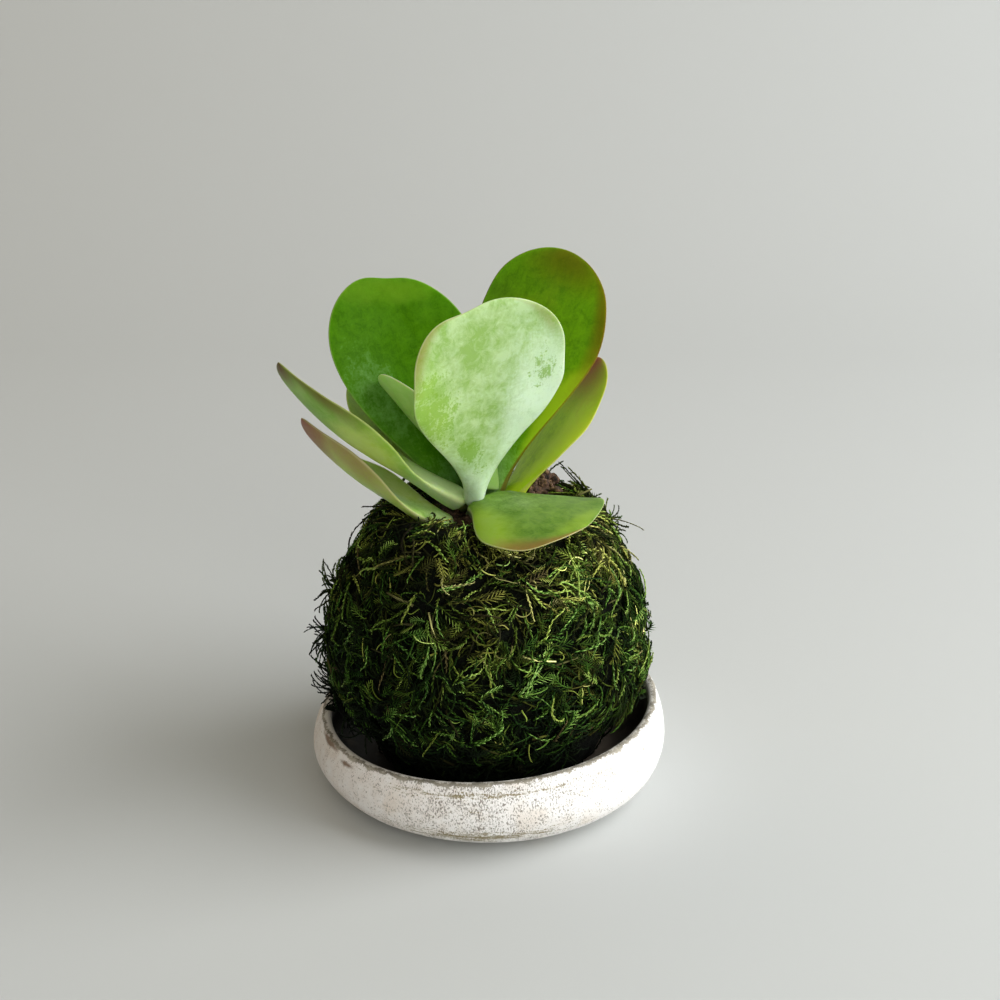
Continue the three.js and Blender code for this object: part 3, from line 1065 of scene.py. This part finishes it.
        # Painted shade: darker to the left, towards the foot and in the pockets between lumps, where less
        # light falls.
        bright *= 0.6 + 0.4 * ease(self.roots[:, 0], *LEFT_SHADE)
        bright *= 0.06 + 0.94 * ease(self.roots[:, 2], *FOOT_SHADE)
        bright *= 0.25 + 0.75 * ease(pocket, -0.3, 0.15)
        corner = faces.ravel()
        # Painted shade: the parts of a strand lying deeper in the mat get the darker tone.
        top = ease(self.proud[:, corner], -0.8, 2.0)
        tones = (self.tone[0] + (self.tone[1] - self.tone[0]) * top) * bright[:, None]
        tones *= ((0.8 + 0.04 * straight[:, 0]) * pale)[corner][None]
        across = tints[:, None] + 0.012 * np.sign(straight[corner, 1])[None]
        uv = np.stack([np.clip(across, 0.01, 0.99), np.clip(tones, 0.01, 0.98)], -1)
        layer = piece.data.uv_layers.new(name=BAKE_MAP)
        layer.uv.foreach_set("vector", uv.astype(np.float32).ravel())


# ---- soil and stem ----


@dataclass
class Soil:
    """The open top of the root ball: a dished bed, a heap behind the stem and loose crumbs."""

    mouth_radius: float = 25.0
    rim: float = 102.5
    heap: float = 104.0
    heap_radius: float = 17.0
    hollow: float = 100.0
    hollow_radius: float = 8.0
    crumbs: int = 420
    heap_crumbs: int = 260
    mound: tuple[float, float, float] = (18.0, 21.0, 112.5)
    mound_radius: float = 12.0
    coarse: float = 5.0
    fine: float = 2.0
    rough: float = 0.9
    seed: int = 11

    def bed(self) -> Piece:
        """Spin the bed's section, raise the mound and roughen it."""
        section = [
            (0.0, self.hollow), (self.hollow_radius, self.hollow), (12.0, (self.hollow + self.heap) / 2),
            (self.heap_radius, self.heap), (self.mouth_radius - 3, self.rim),
            (self.mouth_radius + 3, self.rim - 2), (self.mouth_radius + 12, self.rim - 7),
            (self.mouth_radius + 10, self.rim - 30), (0.0, self.rim - 34),
        ]
        bm = spun(section, 72)
        bmesh.ops.subdivide_edges(bm, edges=bm.edges[:], cuts=2, use_grid_fill=True)
        for vert in bm.verts:
            grain = noise.noise(vert.co / self.coarse) + 0.6 * noise.noise(vert.co / self.fine)
            vert.co += vert.normal * self.rough * grain
            if vert.co.z > self.rim - 8:
                reach = math.hypot(vert.co.x, vert.co.y)
                vert.co.z = max(vert.co.z, self.surface(vert.co.x, vert.co.y) - 1.5 * (reach > 30))
        bmesh.ops.recalc_face_normals(bm, faces=bm.faces[:])
        piece = own_mesh(bm, "soil_bed")
        dress(piece, SOIL.material(), "potting_soil", "root_ball")
        return piece

    def surface(self, x: float, y: float) -> float:
        """Give the soil's height at a place."""
        stops = [0, self.hollow_radius, self.heap_radius, self.mouth_radius - 3, self.mouth_radius + 3, 37]
        heights = [self.hollow, self.hollow, self.heap, self.rim, self.rim - 1, self.rim - 7]
        bed = float(np.interp(math.hypot(x, y), stops, heights))
        away = math.hypot(x - self.mound[0], y - self.mound[1]) / self.mound_radius
        return bed + (self.mound[2] - self.rim) * math.exp(-(away**2))

    def crumb(self, bm: BMesh, rng: Rng, x: float, y: float) -> None:
        """Add one knobbly crumb."""
        size = float(np.clip(rng.lognormal(-0.1, 0.45), 0.4, 2.2))
        spot = Matrix.Translation((x, y, self.surface(x, y) + size * rng.uniform(0.1, 0.7)))
        tumble = Matrix.Rotation(rng.uniform(0, math.tau), 4, Vector(rng.normal(size=3)).normalized())
        stretch = Matrix.Diagonal((*rng.uniform(0.6, 1.15, 3), 1))
        shape = spot @ tumble @ stretch
        made = bmesh.ops.create_icosphere(bm, subdivisions=2, radius=size, matrix=shape)
        for vert in made["verts"]:
            knob = 0.4 * noise.noise(vert.co / (size * 0.9))
            vert.co = spot.translation + (vert.co - spot.translation) * (1 + knob)

    def loose(self) -> Piece:
        """Scatter crumbs over the bed and heap them on the mound."""
        rng = np.random.default_rng(self.seed)
        bm = bmesh.new()
        for _ in range(self.crumbs):
            radius = self.mouth_radius * math.sqrt(rng.uniform(0.04, 1.15))
            turn = rng.uniform(0, math.tau)
            self.crumb(bm, rng, radius * math.cos(turn), radius * math.sin(turn))
        for _ in range(self.heap_crumbs):
            x, y = rng.normal(0, self.mound_radius * 0.55, 2)
            self.crumb(bm, rng, self.mound[0] + x, self.mound[1] + y)
        piece = own_mesh(bm, "soil_crumbs")
        dress(piece, LOOSE_SOIL.material(), "potting_soil")
        return piece


@dataclass
class Stem:
    """The short fleshy stem, in millimetres."""

    x: float = -4.0
    root: float = 92.0
    top: float = 111.0
    radius: float = 4.6

    def build(self) -> Piece:
        """Shape a capped cylinder with regular swellings along it."""
        bm = bmesh.new()
        middle = Matrix.Translation((self.x, 0, (self.root + self.top) / 2))
        rod(bm, 32, (self.radius, self.radius * 0.7), self.top - self.root, middle, 14)
        for vert in bm.verts:
            swell = 1 + 0.08 * math.sin((vert.co.z - self.root) * 1.3)
            vert.co.x = self.x + (vert.co.x - self.x) * swell
            vert.co.y *= swell
        piece = own_mesh(bm, "stem_body")
        skin = LeafSkin("7c9455", "5c7440", "7c9455", "a9bfa0", 0.5, hem_share=0.0)
        dress(piece, skin.material("stem skin"), "stem", "stem")
        return piece


# ---- leaves ----


@dataclass(frozen=True)
class LeafShape:
    """One leaf's shape. Sizes are in millimetres and angles in degrees, as in the solids.

    Attributes:
        base: Where the leaf leaves the stem.
        length: From base to tip along the midrib.
        width: Across the widest part.
        azimuth: Compass direction, 0 along +X and 90 along +Y.
        sweep: How far the direction turns towards the tip.
        rise: Angle above level at the base and at the tip.
        arch: How late the rise changes.
        roll: Turn of the blade about its midrib at the base.
        twist: Further turn by the tip.
        widest: Where the blade is widest, as a share of its length.
        neck: Width at the base, as a share of the widest.
        taper: How slowly the blade widens.
        blunt: How square the tip is.
        point: How pointed the very end is, from a half for a round one.
        cup: How far the margins are raised.
        lean: How far the tip is moved aside, as a share of the length.
        notch: Depth of the dent in the tip.
        dent: Where that dent is, as a share of the half width.
        ripple: How wavy the blade is.
    """

    base: tuple[float, float, float]
    length: float
    width: float
    azimuth: float
    sweep: float
    rise: tuple[float, float]
    arch: float = 1.0
    roll: float = 0.0
    twist: float = 0.0
    widest: float = 0.65
    neck: float = 0.3
    taper: float = 1.0
    blunt: float = 1.0
    point: float = 0.5
    cup: float = 0.0
    lean: float = 0.0
    notch: float = 0.0
    dent: float = 0.0
    ripple: float = 0.35


@dataclass
class Leaf:
    """A leaf: a bent, flattened sphere with a round margin and a keel under its petiole."""

    node: str
    slot: str
    shape: LeafShape
    skin: LeafSkin
    marks: tuple[Mark, ...] = ()
    thickness: float = 3.0
    petiole: float = 6.2
    margin: float = 1.3
    wave_across: float = 15.0
    wave_along: float = 17.0
    sides: int = 48
    rings: int = 72
    steps: int = 160

    def build(self) -> Piece:
        """Map a sphere on to the leaf, write what its material reads, and dress it."""
        bm = bmesh.new()
        bmesh.ops.create_uvsphere(bm, u_segments=self.sides, v_segments=self.rings, radius=1.0)
        unit = np.array([vert.co[:] for vert in bm.verts])
        s = (1 - np.clip(unit[:, 2], -1, 1)) / 2
        ring = np.arctan2(unit[:, 1], unit[:, 0])
        points, across, edge = self.place(s, ring)
        bm.verts.index_update()
        layer = bm.loops.layers.uv.new("blade")
        for face in bm.faces:
            for loop in face.loops:
                index = loop.vert.index
                loop[layer].uv = (across[index] * MM, s[index] * self.shape.length * MM)
        for vert, point in zip(bm.verts, points):
            vert.co = point
        bmesh.ops.recalc_face_normals(bm, faces=bm.faces[:])
        piece = own_mesh(bm, self.node + "_blade")
        paint(piece, "edge", edge)
        paint(piece, "upper", np.sin(ring))
        for kind in MarkKind:
            weights = [mark.weight(np.cos(ring), s) for mark in self.marks if mark.kind is kind]
            paint(piece, kind.value, np.max([0 * s, *weights], axis=0))
        dress(piece, self.skin.material(self.node.replace("_", " ") + " skin"), self.slot, self.node)
        return piece

    def outline(self, s: Array) -> Array:
        """Give half the width as a share of its greatest, at shares s of the length."""
        shape = self.shape
        heel = np.sqrt(1 - np.clip(1 - s / 0.05, 0, 1) ** 2)
        lower = shape.neck + (1 - shape.neck) * ease(s, 0, shape.widest) ** shape.taper
        beyond = np.clip((s - shape.widest) / (1 - shape.widest), 0, 1)
        upper = np.clip(1 - beyond ** (2 * shape.blunt), 0, 1) ** shape.point
        return np.where(s < shape.widest, heel * lower, upper)

    def spine(self) -> tuple[Array, ...]:
        """List the midrib's points and its forward, sideways and upward directions."""
        shape = self.shape
        s = np.linspace(0, 1, self.steps + 1)
        rise = np.radians(shape.rise[0] + (shape.rise[1] - shape.rise[0]) * s**shape.arch)
        azimuth = np.radians(shape.azimuth + shape.sweep * s**1.5)
        flat = np.cos(rise)
        along = np.stack([flat * np.cos(azimuth), flat * np.sin(azimuth), np.sin(rise)], 1)
        level = np.stack([-np.sin(azimuth), np.cos(azimuth), 0 * s], 1)
        turn = np.radians(shape.roll + shape.twist * s)[:, None]
        side = level * np.cos(turn) + np.cross(along, level) * np.sin(turn)
        up = np.cross(along, side)
        step = (along[1:] + along[:-1]) / 2 * shape.length / self.steps
        middle = np.vstack([np.zeros(3), np.cumsum(step, 0)]) + np.array(shape.base)
        return middle, along, side, up

    def place(self, s: Array, ring: Array) -> tuple[Array, Array, Array]:
        """Map places on the sphere to the leaf.

        Args:
            s: Share of the way from base to tip.
            ring: Angle round the section, 0 at one margin and a quarter turn at the upper face.

        Returns:
            Points, distances across from the midrib and distances to the margin, in millimetres.
        """
        shape = self.shape
        half = shape.width / 2
        grid = np.linspace(0, 1, self.steps + 1)
        middle, along, side, up = (
            np.stack([np.interp(s, grid, part[:, axis]) for axis in range(3)], 1) for part in self.spine()
        )
        end = np.minimum(1, np.sqrt(np.clip(1 - (2 * s - 1) ** 2, 0, 1)) * 3)
        width = half * self.outline(s)
        across = np.cos(ring) * width
        blade = self.petiole + (self.thickness - self.petiole) * ease(s, 0, 0.35)
        thick = blade + (self.margin - blade) * ease(s, 0.5, 1)
        through = np.sin(ring)
        keel = 0.35 * (1 - ease(s, 0, 0.4)) * np.abs(through) ** 3
        fullness = np.where(through > 0, 0.42, 0.58 + keel)
        height = np.sign(through) * np.abs(through) ** 0.95 * thick * end * fullness
        cupped = shape.cup * (across / half) ** 2 * half * np.sqrt(np.sin(np.pi * np.clip(s, 0, 1)))
        spots = zip(across / self.wave_across, s * shape.length / self.wave_along)
        wave = np.array([noise.noise(Vector((a, b, shape.azimuth * 0.37))) for a, b in spots])
        ripple = shape.ripple * wave * (0.4 + (across / half) ** 2 * 2) * ease(s, 0.15, 0.5)
        beside = (across / half - shape.dent) / 0.3
        dip = shape.notch * np.exp(-(beside**2)) * np.clip(4 * s - 3, 0, 1) ** 2
        points = (
            middle
            + side * (across + shape.lean * shape.length * s * s)[:, None]
            + up * (height + cupped + ripple)[:, None]
            - along * dip[:, None]
        )
        edge = width * (1 - np.abs(np.cos(ring))) + 0.4 * np.abs(np.sin(ring))
        return points, across, edge


def leaf_list() -> list[Leaf]:
    """List the plant's leaves, with the shape and the skin of each.

    A shape starts with its base, length, width, azimuth, sweep and rise, and a skin with its body,
    deep, under and bloom colours and the bloom's share.
    """
    burn, glow, dust, bare = MarkKind
    return [
        Leaf(
            "front_leaf", "glaucous_leaf",
            LeafShape(
                (-6, -5, 109), 88, 57, -68, -12, (64, 78), roll=8, twist=9, widest=0.64, neck=0.12,
                taper=1.2, blunt=1.6, cup=-0.1, lean=-0.04, notch=2.4, dent=-0.3, ripple=0.9,
            ),
            LeafSkin(
                "94be4c", "7fab3a", "76a22c", "d0e6b8", 0.58, rim="847620", glow="94bf34", frost="d6efdc",
                hem="dce8c0", hem_share=0.2,
            ),
            (
                Mark(dust, 0.75, 0.5, 0.65, 0.42), Mark(dust, 0.0, 0.04, 2.0, 0.3),
                Mark(burn, -1.0, 0.86, 0.14, 0.18, 0.7), Mark(burn, 0.9, 0.9, 0.12, 0.1, 0.4),
                Mark(glow, -0.95, 0.6, 0.45, 0.35, 0.4), Mark(bare, -0.8, 0.58, 0.45, 0.25, 0.8),
                Mark(bare, -0.4, 0.33, 0.35, 0.09, 0.9), Mark(bare, 0.72, 0.66, 0.25, 0.12, 0.7),
                Mark(bare, -0.05, 0.24, 0.5, 0.1, 0.6),
            ),
        ),
        Leaf(
            "back_right_leaf", "olive_leaf",
            LeafShape(
                (1, 4, 106), 93, 55.5, 43, 0, (75, 62), roll=1, twist=7, widest=0.7, neck=0.14, blunt=1.05,
                cup=-0.05, lean=-0.01, ripple=0.5,
            ),
            # Partly painted light: this leaf's own green is made more saturated to stand in for light
            # shining through it while it lies in shade.
            LeafSkin(
                "78b400", "5c9200", "7fa632", "94b45c", 0.05, rim="74420a", glow="acd01a", hem="704812",
                hem_share=0.7, gloss=0.12,
            ),
            (
                Mark(burn, -0.4, 1.02, 1.3, 0.16, 0.6), Mark(burn, -1.0, 0.8, 0.18, 0.3, 0.7),
                Mark(glow, -1.0, 0.42, 0.3, 0.22, 0.9), Mark(glow, 0.2, 0.7, 0.5, 0.12, 0.35),
                Mark(dust, 0.0, 0.06, 1.6, 0.22, 0.6),
            ),
        ),
        Leaf(
            "back_left_leaf", "green_leaf",
            LeafShape(
                (-7, 4, 107), 85, 50, 141, -10, (48, 92), roll=-22, twist=-16, widest=0.71, neck=0.25,
                blunt=0.95, lean=0.09, notch=2, ripple=0.5,
            ),
            LeafSkin(
                "568f00", "437600", "83ad42", "86ac74", 0.03, glow="74a418", hem="8fae5c", hem_share=0.4,
                gloss=0.06,
            ),
            (
                Mark(dust, 0.6, 0.5, 0.5, 0.3, 0.35), Mark(dust, 0.0, 0.06, 1.6, 0.2, 0.4),
                Mark(glow, 0.0, 0.95, 1.2, 0.08, 0.5), Mark(glow, -0.6, 0.45, 0.6, 0.4, 0.3),
            ),
        ),
        Leaf(
            "left_upper_leaf", "olive_leaf",
            LeafShape(
                (-8, -2, 110), 87.5, 46, 197, -11, (30, 62), arch=2.1, roll=-5, twist=30, widest=0.6,
                neck=0.3, blunt=0.95, point=0.75, cup=0.3, lean=0.07,
            ),
            LeafSkin(
                "a8c63c", "84a828", "74ae14", "c6e08c", 0.4, frost="c2dab0", rim="6a5210", glow="b8d23c",
                hem="b9bf86", hem_share=0.4,
            ),
            (
                Mark(burn, 1.0, 0.86, 0.35, 0.25, 0.8), Mark(burn, 0.0, 1.0, 1.5, 0.1),
                Mark(bare, 0.1, 0.72, 0.6, 0.14, 0.8), Mark(dust, 0.0, 0.1, 2.0, 0.3),
                Mark(dust, -0.9, 0.7, 0.4, 0.3, 0.45), Mark(glow, 0.5, 0.5, 0.6, 0.2, 0.7),
            ),
        ),
        Leaf(
            "right_front_leaf", "glaucous_leaf",
            LeafShape(
                (0, -6, 111), 46, 55, -53, 24, (10, -2), roll=2, twist=-3, widest=0.64, neck=0.38,
                blunt=1.3, point=0.65, cup=-0.1, lean=0.01, ripple=0.8,
            ),
            LeafSkin(
                "648a0c", "466e06", "a3ad6c", "93aa6a", 0.24, frost="b0cca0", rim="8a6030", glow="88a814",
                hem="c8cc9c", hem_share=0.45, gloss=0.2,
            ),
            (
                Mark(burn, -0.95, 0.86, 0.25, 0.25, 0.8), Mark(glow, -0.85, 0.42, 0.45, 0.3, 0.8),
                Mark(glow, 0.0, 0.94, 0.9, 0.1, 0.6), Mark(dust, 0.1, 0.3, 0.8, 0.3, 0.5),
            ),
        ),
        Leaf(
            "right_low_leaf", "olive_leaf",
            LeafShape(
                (3, 2, 103), 66, 49.5, 27, 0, (48, 54), roll=-19, twist=6, widest=0.65, neck=0.27,
                lean=0.01, ripple=0.5,
            ),
            # Partly painted light: this leaf's own green is made brighter and more saturated to stand in
            # for light shining through it while it lies in shade.
            LeafSkin(
                "c2e20c", "a0c604", "a6bc30", "b8cc70", 0.06, rim="a04820", glow="d8ee38", hem="c0b870",
                hem_share=0.5, gloss=0.12,
            ),
            (
                Mark(burn, 0.4, 1.02, 1.4, 0.3), Mark(burn, 1.0, 0.8, 0.7, 0.34),
                Mark(glow, -0.7, 0.5, 0.5, 0.4, 0.8),
            ),
        ),
        Leaf(
            "left_lower_leaf", "blushed_leaf",
            LeafShape(
                (-12.5, -9, 102), 67, 29, 168, 3, (24, 52), arch=2.2, roll=-5, twist=50, widest=0.5,
                neck=0.33, blunt=1.05, point=0.75, cup=0.4, lean=0.1,
            ),
            LeafSkin(
                "a2d24a", "82b23a", "a8cc40", "dceaa8", 0.42, rim="96644f", glow="b4d048", hem="c8c096",
                hem_share=0.5,
            ),
            (
                Mark(burn, 0.0, 1.0, 2.0, 0.3), Mark(burn, 1.0, 0.7, 0.6, 0.35, 0.7),
                Mark(glow, -0.7, 0.45, 0.8, 0.35), Mark(dust, 0.2, 0.4, 0.45, 0.16, 0.8),
                Mark(dust, 0.0, 0.05, 2.0, 0.2, 0.6),
            ),
        ),
        Leaf(
            "inner_left_leaf", "glaucous_leaf",
            LeafShape(
                (-1, 1, 112), 55, 28, 165, 5, (44, 49), roll=37, twist=5, widest=0.62, neck=0.3, cup=0.2
            ),
            # Painted light: this skin is made paler to stand in for light on a leaf that lies in shade.
            LeafSkin("b8d88c", "a0c470", "b8d88c", "d4e6c6", 0.6, hem="e6eed2", hem_share=0.8),
            (Mark(dust, 0.0, 0.05, 2.0, 0.4, 0.8),),
        ),
        Leaf(
            "inner_right_leaf", "glaucous_leaf",
            LeafShape((-2, 1, 113), 40, 24, 10, 0, (74, 80), roll=-20, widest=0.62, neck=0.4, cup=0.2),
            LeafSkin("8cb04c", "78a03c", "84aa48", "9dbf84", 0.4, hem="c3d3a4", hem_share=0.6),
        ),
        Leaf(
            "back_low_leaf", "green_leaf",
            LeafShape((-5, 6, 104), 66, 42, 142, 0, (30, 46), widest=0.65, neck=0.3, cup=0.1),
            LeafSkin(
                "7f9c0e", "6b8a06", "8fa648", "93ab62", 0.12, rim="7a4a22", hem="b4b874", hem_share=0.6
            ),
            (Mark(burn, 0.0, 1.0, 1.5, 0.06, 0.7),),
        ),
    ]


# ---- studio ----


@dataclass
class Studio:
    """The backdrop, the light and the camera. Lengths are in metres here."""

    camera_at: tuple[float, float, float] = (0.0041, -0.6199, 0.3653)
    camera_pitch: float = 67.5
    lens: float = 68.4
    key_power: float = 29.0
    front_power: float = 9.8
    room_power: float = 2.5
    sky: float = 0.19
    aim: tuple[float, float, float] = (0.0, 0.0, 0.09)
    wall_at: float = 1.1
    bend: float = 0.6

    def backdrop(self) -> None:
        """Sweep a pale floor up into a wall behind the object."""
        bm = bmesh.new()
        line = [(-2.5, 0.0), (self.wall_at - self.bend, 0.0)]
        for step in range(1, 17):
            turn = math.radians(90 * step / 16)
            line.append((line[1][0] + self.bend * math.sin(turn), self.bend * (1 - math.cos(turn))))
        line.append((self.wall_at, 2.5))
        run = [bm.verts.new((-3.0, y, z)) for y, z in line]
        edges = [bm.edges.new(pair) for pair in zip(run, run[1:])]
        made = bmesh.ops.extrude_edge_only(bm, edges=edges)
        moved = [part for part in made["geom"] if isinstance(part, bmesh.types.BMVert)]
        bmesh.ops.translate(bm, vec=(6.0, 0, 0), verts=moved)
        bmesh.ops.scale(bm, vec=(1 / MM, 1 / MM, 1 / MM), verts=bm.verts[:])
        floor = own_mesh(bm, "studio_floor")
        floor.data.materials.append(STUDIO_PAPER.material())

    def lamp(self, name: str, at: tuple[float, float, float], size: float, power: float, tint: str) -> None:
        """Hang a square soft light that faces the plant."""
        data = bpy.data.lights.new(name, "AREA")
        data.shape = "SQUARE"
        data.size = size
        data.energy = power
        data.color = linear(tint)[:3]
        lamp = place_data(name, data)
        lamp.location = at
        lamp.rotation_euler = (Vector(self.aim) - Vector(at)).to_track_quat("-Z", "Y").to_euler()

    def light(self) -> None:
        """Light from the right as a window does, with a little from the front and from the room behind."""
        self.lamp("window", (1.12, -0.158, 0.913), 1.4, self.key_power, "fdfeff")
        self.lamp("front", (0.514, -1.413, 0.637), 1.0, self.front_power, "fffdf8")
        self.lamp("room", (-0.758, 0.636, 1.08), 1.2, self.room_power, "ffe9c8")
        world = bpy.data.worlds.new("studio")
        world.use_nodes = True
        world.node_tree.nodes.clear()
        back = add_node(world.node_tree, "Background", {"Color": "fff6e4", "Strength": self.sky})
        add_node(world.node_tree, "OutputWorld", {"Surface": back})
        bpy.context.scene.world = world
        bpy.context.scene.view_settings.view_transform = "Standard"

    def camera(self) -> None:
        """Place the camera, slightly above and in front."""
        data = bpy.data.cameras.new("camera")
        data.lens = self.lens
        data.sensor_width = 36.0
        data.sensor_fit = "HORIZONTAL"
        camera = place_data("camera", data)
        camera.location = self.camera_at
        camera.rotation_euler = (math.radians(self.camera_pitch), 0, 0)
        bpy.context.scene.camera = camera

    def build(self) -> None:
        """Set up the camera, the backdrop and the light."""
        self.camera()
        self.backdrop()
        self.light()


# ---- assembly ----


def moss_layers(shape: BallShape) -> list[StrandLayer]:
    """List the layers of strands, from the deepest to the ones that stand out."""
    tufts = (
        Tuft(180, 58, 1.8), Tuft(182, 57, 1.5), Tuft(184, 37, 2.6), Tuft(183, 33, 2.2), Tuft(176, 31, 1.5),
        Tuft(6, 96, 2.0), Tuft(190, 78, 1.8), Tuft(-60, 30, 2.5), Tuft(215, 34, 3.0), Tuft(96, 60, 2.5),
        Tuft(140, 96, 2.5), Tuft(60, 45, 2.5),
    )
    return [
        # Painted shade: the deepest layer of strands is toned nearly black.
        StrandLayer(
            "moss_under", StrandKind.CORD, 2500, shape, 11, lift=(-3.0, 8.0), fat=1.1, depth=(-2.4, -1.0),
            tint=(0.36, 0.1), tone=(0.005, 0.12), scatter=1.0,
        ),
        StrandLayer("moss_cords_1", StrandKind.CORD, 2850, shape, 20),
        StrandLayer("moss_cords_2", StrandKind.CORD, 2850, shape, 21, fat=1.1, tone=(0.02, 0.65)),
        StrandLayer(
            "moss_fronds", StrandKind.FROND, 1500, shape, 40, length=(0.5, 1.2), lift=(2.0, 22.0),
            depth=(-0.6, 0.8), tint=(0.44, 0.1), tone=(0.02, 0.36),
        ),
        StrandLayer(
            "moss_threads", StrandKind.THREAD, 1100, shape, 60, length=(0.4, 1.0), lift=(0.0, 22.0),
            curl=1.6, depth=(-0.4, 0.9), tint=(0.55, 0.12), tone=(0.03, 0.5), scatter=0.9,
        ),
        StrandLayer(
            "moss_blades", StrandKind.BLADE, 90, shape, 61, length=(0.5, 1.3), lift=(0.0, 12.0), curl=0.1,
            depth=(0.2, 1.2), tint=(0.8, 0.05), tone=(0.1, 0.42), scatter=0.9,
        ),
        StrandLayer(
            "moss_tufts", StrandKind.CORD, 280, shape, 70, length=(0.8, 1.5), lift=(25.0, 70.0),
            droop=(0.3, 1.2), tufts=tufts, tone=(0.04, 0.2), scatter=1.6,
        ),
    ]


def main() -> None:
    """Build the studio, the saucer, the ball and the plant in order."""
    logging.basicConfig(level=logging.INFO, format="%(message)s")
    Studio().build()
    Saucer().build()
    shape = BallShape()
    MossGround(shape).build()
    green = MossGreen().material()
    for layer in moss_layers(shape):
        dress(layer.build(), green, "sheet_moss", "moss_cover")
    soil = Soil()
    soil.bed()
    soil.loose()
    Stem().build()
    for leaf in leaf_list():
        leaf.build()


if __name__ == "__main__":
    main()
